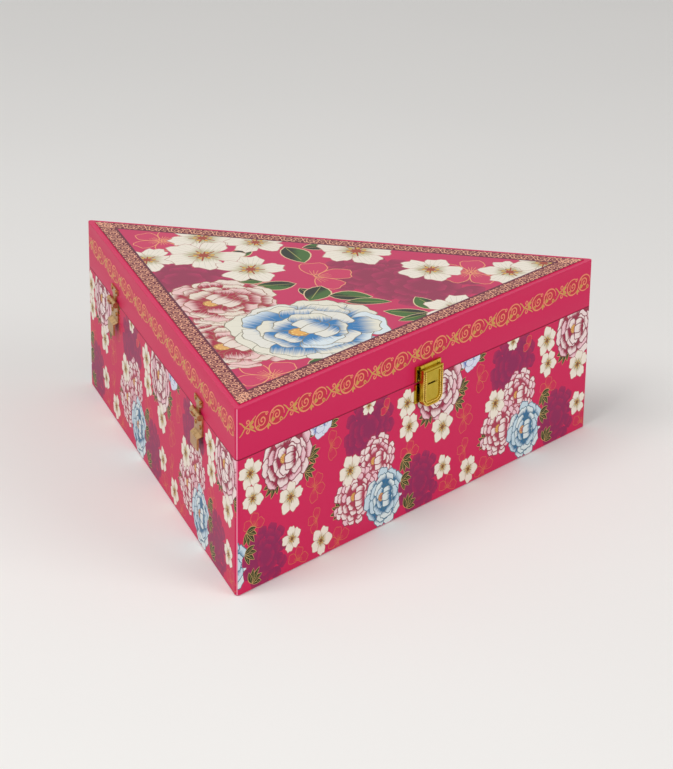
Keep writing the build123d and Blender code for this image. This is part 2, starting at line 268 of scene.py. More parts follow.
def lay(drawing, loop, ink, tint=None, gilt=0.0, root=None, heading=0.0, length=1.0, middle=0.5,
        soft=0.2, seed=0.0):
    """Lays one shape over the drawing, with its inks from root to lip."""
    area = sum(a.x * b.y - b.x * a.y for a, b in zip(loop, loop[1:] + loop[:1]))
    drawing.append({
        "loop": loop if area > 0 else loop[::-1],
        "ink": colour(ink, gilt),
        "tint": colour(tint or ink, gilt),
        "root": Vector(root) if root is not None else loop[0],
        "ahead": towards(heading) / length,
        "side": Vector((-math.sin(heading), math.cos(heading))),
        "middle": middle,
        "soft": soft,
        "seed": seed,
    })


def ribbon(drawing, points, width, ink, gilt, taper=True):
    """A drawn line: one short quad for each step along its points."""
    count = len(points) - 1
    rails = []
    for step, point in enumerate(points):
        before = points[max(step - 1, 0)]
        after = points[min(step + 1, count)]
        ahead = (after - before).normalized()
        half = 0.5 * width * (0.45 + 0.55 * math.sin(math.pi * (step + 0.6) / (count + 1.2)) if taper else 1)
        side = Vector((-ahead.y, ahead.x)) * half
        rails.append((point + side, point - side))
    for (left, right), (next_left, next_right) in zip(rails, rails[1:]):
        lay(drawing, [left, right, next_right, next_left], ink, gilt=gilt)


def petal(drawing, root, heading, length, width, ink, tint, line, line_width, middle, soft, frill=0.05,
          waves=5, narrow=0.45, steps=16, veins=0):
    """A petal, with a thin printed outline if it has a line colour, and a number of fine veins."""
    root = Vector(root)
    ahead = towards(heading)
    if line:
        wide = petal_loop(root - ahead * line_width, heading, length + 2 * line_width, width + 2 * line_width,
                          frill, waves, narrow, steps)
        lay(drawing, wide, line)
    seed = (root.x * 3.1 + root.y * 1.7 + heading) % 50
    inner = petal_loop(root, heading, length, width, frill, waves, narrow, steps)
    lay(drawing, inner, ink, tint, root=root, heading=heading, length=length, middle=middle, soft=soft,
        seed=seed)
    side = Vector((-ahead.y, ahead.x))
    for number in range(veins):
        lean = (number + 0.5) / veins - 0.5
        reach = 0.92 - 0.5 * lean ** 2
        vein = [root + ahead * (length * share) + side * (width * lean * 0.8 * share ** 0.6)
                for share in (0.3, 0.62, reach)]
        ribbon(drawing, vein, vein_width, vein_ink, gilt=0)


def leaf(drawing, root, heading, length, width, edge="#E2C79C", dark="#141C0B", light="#3E6426"):
    """A dark green leaf with a pale gold edge and rib."""
    root = Vector(root)
    ahead = towards(heading)
    line = 0.2 + 0.035 * width
    lay(drawing, leaf_loop(root - ahead * line, heading, length + 2 * line, width + 2 * line), edge, gilt=0.5)
    lay(drawing, leaf_loop(root, heading, length, width), dark, light, root=root, heading=heading + 1.2,
        length=width * 0.7, middle=0.5, soft=0.35, seed=root.x)
    rib = [root + ahead * (length * share) for share in (0.05, 0.5, 0.85)]
    ribbon(drawing, rib, 0.1 + 0.02 * length, "#9C9858", gilt=0.5)


def sprig(drawing, root, heading, length, count):
    """A fan of small dark leaves from one stem."""
    spread = 0.5
    for step in range(count):
        away = step - (count - 1) / 2
        reach = length * (1 - 0.12 * abs(away))
        leaf(drawing, root, heading + spread * away, reach, length * 0.28, "#CCA868", "#1C1C0B", "#38371A")


def blossom(drawing, centre, radius, turn, heart, base, line, frill=0.07, veins=0, narrow=0.5):
    """A white five-petalled blossom with a warm heart."""
    centre = Vector(centre)
    rolls = random.Random(round(centre.x * 7 + centre.y * 13))
    for step in range(5):
        heading = turn + math.tau * step / 5 + rolls.uniform(-0.1, 0.1)
        root = centre + 0.08 * radius * towards(heading)
        petal(drawing, root, heading, radius * rolls.uniform(0.84, 0.96), radius * rolls.uniform(0.84, 1.0),
              base, petal_white, line, radius * 0.02 + 0.1, middle=0.28, soft=0.34, frill=frill,
              waves=rolls.choice((4, 5, 7)), narrow=narrow, steps=20, veins=veins)
    for step in range(10):
        heading = turn + math.tau * (step + 0.5) / 10
        reach = 0.4 if step % 2 else 0.28
        tip = centre + reach * radius * towards(heading)
        ribbon(drawing, [centre, (centre + tip) / 2, tip], radius * 0.05, heart, gilt=0)
    lay(drawing, circle_loop(centre, radius * 0.13), heart)
    for step in range(6):
        heading = turn + math.tau * step / 6
        dot = centre + 0.22 * radius * towards(heading)
        lay(drawing, circle_loop(dot, radius * 0.06, 5), "#D8A43A", gilt=0.5)


def line_blossom(drawing, centre, radius, turn, width, fill, ink, petals):
    """Some petals of a blossom drawn only in line, over a pink a little off the ground's."""
    centre = Vector(centre)
    for step in petals:
        heading = turn + math.tau * step / 5
        root = centre + 0.1 * radius * towards(heading)
        outline = petal_loop(root, heading, radius * 0.9, radius * 0.95, 0.06, 5, 0.3, 18)
        lay(drawing, outline, fill)
        ribbon(drawing, outline + outline[:1], width, ink, gilt=0.5, taper=False)
        for fan in (-0.25, 0.0, 0.25):
            tip = centre + 0.45 * radius * towards(heading + fan)
            ribbon(drawing, [centre, (centre + tip) / 2, tip], width * 0.6, ink, gilt=0.5)


def peony(drawing, centre, size, rings, deep, pales, line, turn, seed, stretch=(1.0, 1.0), weight=0.01,
          heart="#D89A50", soft=0.3, veins=0, steps=18):
    """A full peony: rings of frilled petals, the outer ones underneath, round a cupped heart.

    A ring is where its petals start, their length, width and number, and where their ink turns.
    """
    rolls = random.Random(seed)
    centre = Vector(centre)
    line_width = weight * size + 0.1
    lay(drawing, circle_loop(centre, size * (rings[0][0] + 0.16) * min(stretch), 16), deep)
    for number, (start, length, width, count, middle) in enumerate(rings):
        for step in range(count):
            heading = turn + math.tau * (step + 0.5 * number + rolls.uniform(-0.25, 0.25)) / count
            push = Vector((math.cos(heading) * stretch[0], math.sin(heading) * stretch[1]))
            petal(drawing, centre + push * size * start, heading + rolls.uniform(-0.35, 0.35),
                  size * length * rolls.uniform(0.86, 1.14), size * width * rolls.uniform(0.85, 1.2), deep,
                  rolls.choice(pales), line, line_width, middle=middle + rolls.uniform(-0.22, 0.18),
                  soft=soft * rolls.uniform(0.8, 1.2), frill=0.06, waves=rolls.choice((5, 6, 7)), narrow=0.55,
                  steps=steps, veins=veins)
    lay(drawing, circle_loop(centre, size * 0.2, 12), deep)
    for reach, tone in ((0.15, "#C08A48"), (0.11, heart)):
        lay(drawing, circle_loop(centre + Vector((-0.16, 0.04)) * size, size * reach), tone)
    for step in range(9):
        dot = centre + size * Vector((-0.16 + 0.1 * math.cos(step * 0.7), 0.04 + 0.1 * math.sin(step * 0.7)))
        lay(drawing, circle_loop(dot, size * 0.02, 5), "#F0D080", gilt=0.5)
    for rise, heading, length in ((0.14, -0.2, 0.4), (-0.15, 0.25, 0.44), (0.0, 0.02, 0.46)):
        root = centre + Vector((0.34, rise)) * size
        petal(drawing, root, math.pi + heading, size * length, size * 0.3, deep, pales[0], line, line_width,
              middle=0.3, soft=soft, narrow=0.85, steps=steps)


def plum_shadow(drawing, centre, size, turn, seed, ink=shadow_plum, lip="#B01E56"):
    """A peony seen only as a plum silhouette, with petals that lighten at the lip."""
    rolls = random.Random(seed)
    centre = Vector(centre)
    lay(drawing, circle_loop(centre, size * 0.6, 16), ink)
    for start, length, width, count in (
            (0.6, 0.4, 0.46, 11), (0.42, 0.4, 0.44, 10), (0.22, 0.38, 0.42, 7), (0.02, 0.34, 0.4, 5)):
        for step in range(count):
            heading = turn + math.tau * (step + rolls.uniform(-0.2, 0.2)) / count
            root = centre + size * start * towards(heading)
            petal(drawing, root, heading, size * length, size * width, ink, lip, line=None, line_width=0,
                  middle=0.75, soft=0.5, narrow=0.6)


print("Print inks:", petal_white, print_pink, shadow_plum)

# %% [markdown]
# ## From artwork to paper
# The artwork is trimmed to its sheet while it is triangulated. The flat mesh then gets a back and
# edges, so that it is a closed film 0.04 mm thick, and each point is carried to its place on the
# box. On the sides this wraps the sheet round the rounded corners, along bend lines.

# %% Press the artwork into a film
film_thickness = 0.04
inside_only = 1
merge_distance = 1e-5


def pick(piece):
    """Selects one object alone and makes it active."""
    bpy.ops.object.select_all(action="DESELECT")
    piece.select_set(True)
    bpy.context.view_layer.objects.active = piece


def press(name, drawing, sheet_loop, bends, place, material):
    """One closed film mesh from a drawing, trimmed to sheet_loop and folded along bends."""
    points = []
    faces = []
    for loop in [sheet_loop] + [shape["loop"] for shape in drawing]:
        faces.append(list(range(len(points), len(points) + len(loop))))
        points.extend(Vector(point) for point in loop)
    folds = []
    for start, end in bends:
        folds.append((len(points), len(points) + 1))
        points.extend((Vector(start), Vector(end)))
    flat, _, triangles, _, _, owners = delaunay_2d_cdt(points, folds, faces, inside_only, merge_distance)
    kept = [(corners, max(owner) - 1) for corners, owner in zip(triangles, owners) if 0 in owner]

    uses = {}
    for corners, _ in kept:
        for a, b in zip(corners, corners[1:] + corners[:1]):
            uses[(a, b)] = True
    rim = {a: b for a, b in uses if (b, a) not in uses}
    first = min(rim)
    ring = [first]
    while rim[ring[-1]] != first:
        ring.append(rim[ring[-1]])

    ring_points = [flat[index] for index in ring]
    back_points = ring_points + [Vector(point) for pair in bends for point in pair]
    back_folds = [(len(ring) + 2 * step, len(ring) + 2 * step + 1) for step in range(len(bends))]
    whole = [list(range(len(ring)))]
    back = delaunay_2d_cdt(back_points, back_folds, whole, inside_only, merge_distance)
    back_flat, _, back_faces, back_from, _, _ = back
    base = len(flat)
    ring_to_back = {}
    for index, sources in enumerate(back_from):
        for source in sources:
            if source < len(ring):
                ring_to_back[source] = base + index

    coordinates = [place(point.x, point.y, film_thickness) for point in flat]
    coordinates += [place(point.x, point.y, 0.0) for point in back_flat]
    mesh_faces = [tuple(corners) for corners, _ in kept]
    shapes = [shape for _, shape in kept]
    mesh_faces += [tuple(base + index for index in reversed(corners)) for corners in back_faces]
    for step, index in enumerate(ring):
        after = (step + 1) % len(ring)
        mesh_faces.append((ring[after], index, ring_to_back[step], ring_to_back[after]))
    shapes += [-1] * (len(mesh_faces) - len(shapes))

    mesh = bpy.data.meshes.new(name)
    mesh.from_pydata(coordinates, [], mesh_faces)
    ink = []
    tint = []
    brush = []
    ground = colour(print_pink, 0.0)
    spots = flat + back_flat
    for corners, shape in zip(mesh_faces, shapes):
        art = drawing[shape] if shape >= 0 else None
        for index in corners:
            if art is None:
                ink.extend(ground)
                tint.extend(ground)
                brush.extend((0.0, 0.0, 0.0))
                continue
            offset = spots[index] - art["root"]
            ink.extend(art["ink"])
            tint.extend(art["tint"])
            brush.extend(((offset.dot(art["ahead"]) - art["middle"]) / art["soft"],
                          offset.dot(art["side"]), art["seed"]))
    mesh.attributes.new("ink", "FLOAT_COLOR", "CORNER").data.foreach_set("color", ink)
    mesh.attributes.new("tint", "FLOAT_COLOR", "CORNER").data.foreach_set("color", tint)
    mesh.attributes.new("brush", "FLOAT_VECTOR", "CORNER").data.foreach_set("vector", brush)
    film = bpy.data.objects.new(name, mesh)
    bpy.context.collection.objects.link(film)
    film.data.materials.append(material)
    pick(film)
    bpy.ops.object.mode_set(mode="EDIT")
    bpy.ops.mesh.select_all(action="DESELECT")
    bpy.ops.mesh.select_mode(type="VERT")
    bpy.ops.mesh.select_loose()
    bpy.ops.mesh.delete(type="VERT")
    bpy.ops.object.mode_set(mode="OBJECT")
    bpy.ops.object.shade_smooth_by_angle(angle=math.radians(30))
    print(name, len(drawing), "shapes,", len(film.data.polygons), "faces")
    return film


# %% Print ink and lamination
# Offset inks under a thin clear lamination: the colours are flat and strong, with a satin sheen,
# and the gold ink is a little metallic.
fibre_scale = 900.0
printed_paper, tree, shader = new_material("laminated_offset_print", Roughness=0.45, Specular_IOR_Level=0.2)
ink = add(tree, "ShaderNodeAttribute", settings={"attribute_name": "ink"})
tint = add(tree, "ShaderNodeAttribute", settings={"attribute_name": "tint"})
brush = add(tree, "ShaderNodeAttribute", settings={"attribute_name": "brush"})
# Brush strokes about 0.8 mm apart, coarser than the real screen so that they show.
stroke_place = add(tree, "ShaderNodeVectorMath", {0: brush.outputs["Vector"]}, {"operation": "MULTIPLY"},
                   _1=(0.35, 1.3, 1.0))
strokes = add(tree, "ShaderNodeTexNoise", {"Vector": stroke_place.outputs[0]}, Scale=1.0, Detail=1.0)
ragged = add(tree, "ShaderNodeMath", {0: strokes.outputs[0]}, {"operation": "MULTIPLY_ADD"}, _1=1.3, _2=-0.2)
parts = add(tree, "ShaderNodeSeparateXYZ", {0: brush.outputs["Vector"]})
reach = add(tree, "ShaderNodeMath", {0: parts.outputs["X"], 1: ragged.outputs[0]}, {"operation": "ADD"})
share = add(tree, "ShaderNodeMath", {0: reach.outputs[0]}, {"operation": "ADD", "use_clamp": True}, _1=0.0)
inks = add(tree, "ShaderNodeMix", {0: share.outputs[0], 6: ink.outputs["Color"], 7: tint.outputs["Color"]},
           {"data_type": "RGBA"})
tree.links.new(inks.outputs[2], shader.inputs["Base Color"])
sheen = add(tree, "ShaderNodeMath", {0: ink.outputs["Alpha"]}, {"operation": "MULTIPLY"}, _1=0.35)
tree.links.new(sheen.outputs[0], shader.inputs["Metallic"])
place = add(tree, "ShaderNodeTexCoord")
fibre = add(tree, "ShaderNodeTexNoise", {"Vector": place.outputs["Object"]}, Scale=fibre_scale, Detail=2.0)
relief = add(tree, "ShaderNodeBump", {"Height": fibre.outputs[0]}, Strength=0.12, Distance=0.0002)
tree.links.new(relief.outputs[0], shader.inputs["Normal"])
print("Print material has", len(tree.nodes), "nodes")

# %% [markdown]
# ## The sides of the base
# A strip of paper covers each side of the base, and the strips meet at the corners, where the
# front's pattern doesn't run on into the left's. The pattern repeats every 95 mm: a high pink
# peony with a smaller blue one beside it, a low group of two pink and one blue half a step on,
# plum shadows behind, and white blossoms, line blossoms and sprigs between. One function of where
# a repeat starts draws it, so every repeat has the same flowers.

# %% Walk round the box
side_low, side_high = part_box("base_wrap_paper")
in_radius = -side_low.y / mm
side_length = 2 * math.sqrt(3) * in_radius
corner_radius = 1.3
straight = side_length - 2 * math.sqrt(3) * corner_radius
arc = math.tau / 3 * corner_radius
side_step = straight + arc
around_length = 3 * side_step
arc_steps = 6
end_gap = 0.01


def around(run, height, lift):
    """The place on the box's sides at a run from the front left corner, a height and a lift, in mm."""
    side = int(run // side_step) % 3 if run < around_length else 2
    along = run - side * side_step
    heading = math.radians(120 * side)
    outward = Vector((math.sin(heading), -math.cos(heading)))
    ahead = towards(heading)
    past = along - arc / 2
    flat = min(max(past, 0.0), straight)
    turn = (past - flat) / corner_radius
    core = outward * (in_radius - corner_radius) + ahead * (flat - straight / 2)
    spot = core + (outward * math.cos(turn) + ahead * math.sin(turn)) * (corner_radius + lift)
    return Vector((spot.x, spot.y, height)) * mm


def corner_bends(first, last, low, high):
    """Fold lines round the rounded corners between two runs."""
    bends = []
    for side in range(4):
        for step in range(arc_steps + 1):
            run = side_step * side + arc * (step / arc_steps - 0.5)
            if first + end_gap < run < last - end_gap:
                bends.append(((run, low), (run, high)))
    return bends


def strip_loop(first, last, low, high):
    """The outline of a strip of paper."""
    return [Vector((first, low)), Vector((last, low)), Vector((last, high)), Vector((first, high))]


print("Once round the box:", round(around_length, 1), "mm")

# %% Draw one repeat of the side paper
repeat = 95.0
pink_rings = ((0.6, 0.4, 0.6, 10, 0.5), (0.42, 0.38, 0.56, 8, 0.5), (0.26, 0.36, 0.5, 6, 0.5),
              (0.1, 0.34, 0.42, 4, 0.45))
lace_rings = ((0.74, 0.28, 0.34, 16, 0.3), (0.57, 0.28, 0.34, 13, 0.4), (0.4, 0.28, 0.34, 9, 0.4),
              (0.22, 0.3, 0.34, 6, 0.4))
bud_rings = ((0.35, 0.62, 0.86, 7, 0.35), (0.12, 0.5, 0.7, 5, 0.4))
side_pinks = ("#F2E2DE", "#F0DCDA", "#EEC6CE")
side_blues = ("#DEE8E8", "#C8DCE6")
bud_blues = ("#E6E4EC", "#DCE0F0")


def side_repeat(drawing, start):
    """Every flower of one repeat of the side paper."""
    def at(x, z):
        return Vector((start + x, z))

    plum_shadow(drawing, at(79, 47), 16, 0.3, 5)
    plum_shadow(drawing, at(17, 12), 14, 0.1, 6)
    for x, z, radius, turn, petals in (
            (10, 27, 6, 0.2, (0, 1, 2)), (45.5, 32, 6.5, 0.9, (0, 1, 3, 4)), (47.5, 17, 5.5, 0.4, (1, 2, 3)),
            (55, 47, 6.5, 0.0, (0, 1, 4)), (61, 3, 6.5, 0.5, (0, 1, 2, 3)), (36, 3, 6, 0.1, (0, 1, 2)),
            (91, 52, 5, 0.7, (1, 2))):
        line_blossom(drawing, at(x, z), radius, turn, 0.2, "#CF2452", "#D4784A", petals)
    for x, z, heading, length, count in (
            (42, 46, 0.3, 7, 5), (40, 41, -0.5, 6.5, 4), (42, 55, 0.9, 7, 4), (22, 43, 4.2, 8, 6),
            (6, 26, -0.9, 7, 5), (5, 17, -0.4, 7, 4), (62, 17, 3.3, 6.5, 5), (9, 3, 0.9, 7, 5),
            (54, 56, 0.2, 6, 3)):
        sprig(drawing, at(x, z), heading, length, count)
    peony(drawing, at(49, 60), 8, bud_rings, "#5C74BC", bud_blues, "#8C8CAC", 0.2, 12)
    peony(drawing, at(29.5, 50), 14, pink_rings, "#9C2244", side_pinks, "#8A3C4C", 0.1, 3, (1.05, 0.95),
          0.026)
    for x, z, size, turn, seed, stretch in (
            (84, 31, 12, 0.5, 4, (0.95, 0.95)), (72, 19, 13, 0.2, 7, (1.1, 0.9))):
        peony(drawing, at(x, z), size, lace_rings, "#B23A54", side_pinks, "#A0384E", turn, seed, stretch,
              0.03)
    peony(drawing, at(89.5, 13), 13, pink_rings, "#2F6C96", side_blues, "#4A7488", 0.0, 8, (0.9, 0.98), 0.022,
          "#C07060")
    for x, z, radius, turn in (
            (8, 50.5, 6.6, 0.4), (9.5, 39.5, 6.2, 0.9), (31.5, 32.5, 6.9, 0.25), (32.5, 14, 5.7, 0.5),
            (50, 7, 6.3, 1.1), (78.5, 57, 4.1, 0.2), (67.5, 32, 6.9, 0.7)):
        blossom(drawing, at(x, z), radius, turn, "#7E4A1E", "#BFB284", "#BC8474")


# A paler pink line is laid along both ends of each strip and along its foot.
pale_line_ink = "#E58AA2"
pale_end_width = 0.25
pale_foot_width = 0.15
seam_low = side_low.z / mm
seam_high = side_high.z / mm
# Painted shadow under the lid's edge: a dark strip along the top of the base's paper, given by its width in
# mm and its ink.
painted_seam_shadow_width = 0.3
painted_seam_shadow_ink = "#861434"
front_shift = -1.0
other_shift = 72.7


def show_ends(drawing, first, last, low, high):
    """A paler pink line at both ends of a strip."""
    for near, far in ((first, first + pale_end_width), (last - pale_end_width, last)):
        lay(drawing, strip_loop(near, far, low, high), pale_line_ink)


def side_film(name, first, last, offset):
    """A printed strip of the base, its repeats shifted by an offset."""
    art = []
    start = offset + repeat * math.floor((first - offset) / repeat - 0.2)
    while start < last:
        side_repeat(art, start)
        start += repeat
    show_ends(art, first, last, seam_low, seam_high)
    lay(art, strip_loop(first, last, seam_low, seam_low + pale_foot_width), pale_line_ink)
    # Painted shadow: a dark strip at the top of each strip, where the lid's edge shades the seam.
    lay(art, strip_loop(first, last, seam_high - painted_seam_shadow_width, seam_high), painted_seam_shadow_ink)
    film = press(name, art, strip_loop(first, last, seam_low, seam_high),
                 corner_bends(first, last, seam_low, seam_high), around, printed_paper)
    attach(film, "base")


side_film("front_printed_film", 0.0, side_step, front_shift)
side_film("right_printed_film", side_step, 2 * side_step, other_shift)
side_film("left_printed_film", 2 * side_step, around_length, other_shift)

# %% [markdown]
# ## The scroll round the lid
# Round curls in mirrored pairs run round the lid's sides in gold, with a crossed bow between the
# pairs. A curl is a spiral of one turn and a half in a ring, and a bow is two bent lines that
# cross. Both are drawn as ribbons of short quads, which are triangulated like any other shape.

# %% Draw the lid's scroll
scroll_pitch = 24.5
scroll_size = 7.2
scroll_line = 0.7
scroll_level = 70.5
scroll_gilt = 0.6
lid_top_margin = 0.3


def lid_scroll(drawing, at, length, height, width, ink, leaf_ink):
    """Pairs of gold curls with bows between, where at(x, y) gives places on the sheet."""
    count = 3 * round(length / scroll_pitch)
    pitch = length / count
    bow = ((-0.55, -0.42), (-0.4, -0.3), (-0.15, 0.02), (0.15, 0.16), (0.4, 0.34), (0.55, 0.46))

    def draw(points, share=1.0, tone=ink):
        ribbon(drawing, [at(point[0], point[1]) for point in points], width * share, tone, scroll_gilt)

    def curl(x, y, size, start, turns, shrink, steps, share, tone=ink):
        draw(spiral_points((x, y * height), size * height, start, turns, shrink, steps), share, tone)

    def leaflet(x, y, heading, long, wide):
        lay(drawing, leaf_loop(at(x, y), heading, long * pitch, wide * pitch), leaf_ink, gilt=scroll_gilt)

    for number in range(count):
        middle = (number + 0.5) * pitch
        if number % 3 == 0:
            for flip in (1, -1):
                draw([(middle + x * pitch, flip * y * height) for x, y in bow], 0.9, leaf_ink)
                curl(middle, flip * 0.26, 0.17, -flip * 1.6, flip * 1.1, 0.3, 9, 0.9)
                leaflet(middle + 0.1 * pitch, 0, flip * 0.5, 0.4, 0.15)
            continue
        flip = 1 if number % 3 == 1 else -1
        ring = [(middle + 0.5 * pitch * math.cos(turn), 0.5 * height * math.sin(turn))
                for turn in (flip * (0.9 + 0.29 * step) for step in range(20))]
        lay(drawing, [at(x, y) for x, y in ring], "#C62844")
        draw(ring)
        curl(middle, 0.03, 0.33, flip * 2.6, flip * 1.5, 0.1, 20, 0.95)
        curl(middle + 0.3 * flip * pitch, 0.34, 0.12, 0, flip * 1.1, 0.3, 8, 0.8)
        curl(middle - 0.3 * flip * pitch, -0.3, 0.14, 0, flip * 1.1, 0.3, 8, 0.9, leaf_ink)
        for lean in (0.6, 1.3):
            leaflet(middle + 0.34 * flip * pitch, -0.3 * height, -lean * flip, 0.3, 0.13)


lid_low, lid_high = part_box("lid_wrap_paper")
lid_bottom = lid_low.z / mm
lid_top = lid_high.z / mm - lid_top_margin
lid_art = []
for side in range(3):
    start = side * side_step + arc / 2

    def on_lid(x, y, start=start):
        return Vector((start + x, scroll_level + y))

    lid_scroll(lid_art, on_lid, straight, scroll_size, scroll_line, "#E88E68", "#D09C54")
show_ends(lid_art, 0.0, around_length, lid_bottom, lid_top)
lid_film = press("lid_side_printed_film", lid_art, strip_loop(0.0, around_length, lid_bottom, lid_top),
                 corner_bends(0.0, around_length, lid_bottom, lid_top), around, printed_paper)
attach(lid_film, "lid")

# %% [markdown]
# ## The top of the lid
# The top has its own sheet: a pair of large pink peonies and a blue one on a magenta field, white
# blossoms and dark leaves down the right half, plum shadows behind, and a dense gold scroll on
# maroon all round.

# %% Draw the top's scroll
def border_scroll(drawing, at, length, pitch, height, width, ink):
    """A dense row of small curls that fills a band."""
    count = round(length / pitch)
    pitch = length / count
    for number in range(count):
        flip = 1 if number % 2 else -1
        middle = (number + 0.5) * pitch
        for x, rise, radius, start, turns, steps in (
                (0.0, 0.06, 0.36, -math.pi / 2, 1.6, 17), (0.5, -0.3, 0.19, math.pi / 2, -1.2, 10),
                (0.42, 0.32, 0.16, math.pi, 1.1, 9), (-0.1, -0.38, 0.11, 0.0, 1.0, 7)):
            curl = spiral_points((middle + x * pitch, flip * rise * height), radius * height, start * flip,
                                 turns * flip, 0.15, steps)
            ribbon(drawing, [at(point.x, point.y) for point in curl], width, ink, scroll_gilt)
        stem = [at(middle + x * pitch, flip * y * height)
                for x, y in ((-0.5, -0.3), (-0.3, 0.0), (0.0, 0.47), (0.3, 0.3), (0.5, -0.3))]
        ribbon(drawing, stem, width, ink, scroll_gilt)


# %% Draw the top sheet
top_low, top_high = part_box("lid_top_print")
sheet_in_radius = -top_low.y / mm
border_width = 6.6
border_pitch = 5.2
border_stroke = 0.4
frame_line = 0.7
maroon = "#6A142A"


def triangle_loop(inner):
    """The corners of a triangle round the middle, from the distance of its sides."""
    turns = (0, -math.tau / 3, math.tau / 3)
    return [Vector((2 * inner * math.sin(turn), 2 * inner * math.cos(turn))) for turn in turns]


def frame_band(drawing, outer, inner, ink):
    """A band round the sheet, in three mitred strips."""
    outside = triangle_loop(outer)
    inside = triangle_loop(inner)
    for number in range(3):
        after = (number + 1) % 3
        lay(drawing, [outside[number], outside[after], inside[after], inside[number]], ink)


top_field = "#C62A5C"
top_rings = ((0.66, 0.38, 0.6, 13, 0.55), (0.52, 0.38, 0.58, 11, 0.6), (0.36, 0.38, 0.54, 9, 0.62),
             (0.2, 0.36, 0.5, 6, 0.62))
blue_rings = ((0.56, 0.5, 0.86, 9, 0.4), (0.42, 0.48, 0.8, 8, 0.55), (0.28, 0.44, 0.7, 6, 0.62),
              (0.14, 0.4, 0.6, 5, 0.64))
top_pinks = ("#EBDACE", "#EADCCC", "#EBC6C2")
top_blues = ("#E7E4DA", "#DCE6EA", "#E8E3D2")
all_petals = (0, 1, 2, 3, 4)
top_art = []
lay(top_art, triangle_loop(sheet_in_radius), top_field)
for x, y, size, turn, seed in ((-27, 46, 26, 0.2, 21), (32, -8, 24, 0.5, 22), (38, -34, 26, 0.1, 23)):
    plum_shadow(top_art, (x, y), size, turn, seed, "#92264C", "#B02C5A")
for x, y, radius, turn, petals in (
        (2, 88, 13, 0.4, all_petals), (14, 8, 17, -0.5, (0, 1, 4)), (64, -38, 15, 0.6, all_petals),
        (-81, -54, 15, 0.3, all_petals)):
    line_blossom(top_art, (x, y), radius, turn, 0.45, "#CC3660", "#E8A070", petals)
for x, y, heading, length, width in (
        (20, 50, 2.9, 14, 8), (33, 42, -2.0, 21, 12), (38, 36, -0.7, 15, 8), (-2, 21, 2.6, 13, 7),
        (2, 8, 2.5, 18, 10), (-1, 3, -1.9, 13, 6), (7, -2, 3.6, 18, 11), (1, -12, -0.9, 18, 10),
        (0, -22, -0.8, 19, 7), (14, -56, 2.2, 19, 9), (14, -56, 2.9, 16, 6), (20, -56, 1.3, 17, 9),
        (-62, -56, -0.4, 13, 6)):
    leaf(top_art, (x, y), heading, length, width)
for x, y, radius, turn in (
        (-20, 75, 14, 0.4), (17, 77, 16, 0.2), (29, 56, 14, 0.9), (51, 16, 17, 0.5), (1, 61, 17.5, 0.35),
        (2, 34, 15.5, 0.7), (55, -23, 14, 0.3), (76, -50, 14, 0.9), (95, -54, 14, 0.2), (26, -61, 15, 0.6)):
    blossom(top_art, (x, y), radius, turn, "#A2402A", "#B4AE80", "#C8A294", 0.09, 4, 0.4)
for x, y, size, turn, seed in ((-68, -20, 25, 0.4, 32), (-36, 17, 24, 0.1, 31)):
    peony(top_art, (x, y), size, top_rings, "#A61C3C", top_pinks, "#A06A50", turn, seed, (1.05, 1.0), 0.013,
          "#E0A860", 0.36, 3, 24)
peony(top_art, (-34, -32), 31, blue_rings, "#2C78B2", top_blues, "#847C62", 0.0, 33, (1.05, 0.95), 0.01,
      "#E8AC58", 0.4, 3, 26)
line_start = sheet_in_radius - border_width
frame_band(top_art, sheet_in_radius, line_start, maroon)
frame_band(top_art, line_start, line_start - frame_line, "#5A1630")
band_middle = sheet_in_radius - border_width / 2
band_length = 2 * math.sqrt(3) * sheet_in_radius
for side in range(3):
    turn = math.radians(120 * side)

    def on_band(x, y, turn=turn):
        x -= band_length / 2
        y -= band_middle
        return Vector((x * math.cos(turn) - y * math.sin(turn), x * math.sin(turn) + y * math.cos(turn)))

    border_scroll(top_art, on_band, band_length, border_pitch, border_width, border_stroke, "#F2B290")


def on_top(x, y, lift):
    """A place on the top sheet, in metres."""
    return Vector((x, y, top_high.z / mm + lift)) * mm


top_film = press("lid_top_printed_film", top_art, triangle_loop(sheet_in_radius), (), on_top, printed_paper)
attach(top_film, "lid")

# %% [markdown]
# ## Satin-covered foam
# The insert is a foam block with three wells, covered in gold satin that is pushed down into each
# well. A cloth simulation is the usual way to make such a cover, and none was tried here. Formulas
# move the points of the cloth instead, and they give the same folds on every run. A copy of the
# solid is remeshed into even quads. The cloth then sinks at the mouths, gathers into small folds
# round them, and is drawn down along the box's walls.

# %% Copy a solid as an even mesh
def soft_copy(name, node, voxel):
    """A merged and evenly remeshed copy of a CAD node."""
    mesh = frame["nodes"][node].data.copy()
    piece = bpy.data.objects.new(name, mesh)
    bpy.context.collection.objects.link(piece)
    pick(piece)
    bpy.ops.object.mode_set(mode="EDIT")
    bpy.ops.mesh.select_all(action="SELECT")
    bpy.ops.mesh.remove_doubles(threshold=1e-6)
    bpy.ops.object.mode_set(mode="OBJECT")
    bpy.ops.object.modifier_add(type="REMESH")
    remesh = piece.modifiers[-1]
    remesh.mode = "VOXEL"
    remesh.voxel_size = voxel
    remesh.use_smooth_shade = True
    bpy.ops.object.modifier_apply(modifier=remesh.name)
    piece.data.materials.clear()
    print(name, len(piece.data.polygons), "faces")
    return piece


def wall_distance(point, inner):
    """How far inside a triangle's nearest side a point is, and how far along that side, in mm."""
    sides = []
    for turn in (0, math.tau / 3, -math.tau / 3):
        out = Vector((math.sin(turn), -math.cos(turn)))
        sides.append((max(inner - point.xy.dot(out), 0.0), point.x * -out.y + point.y * out.x))
    return min(sides)


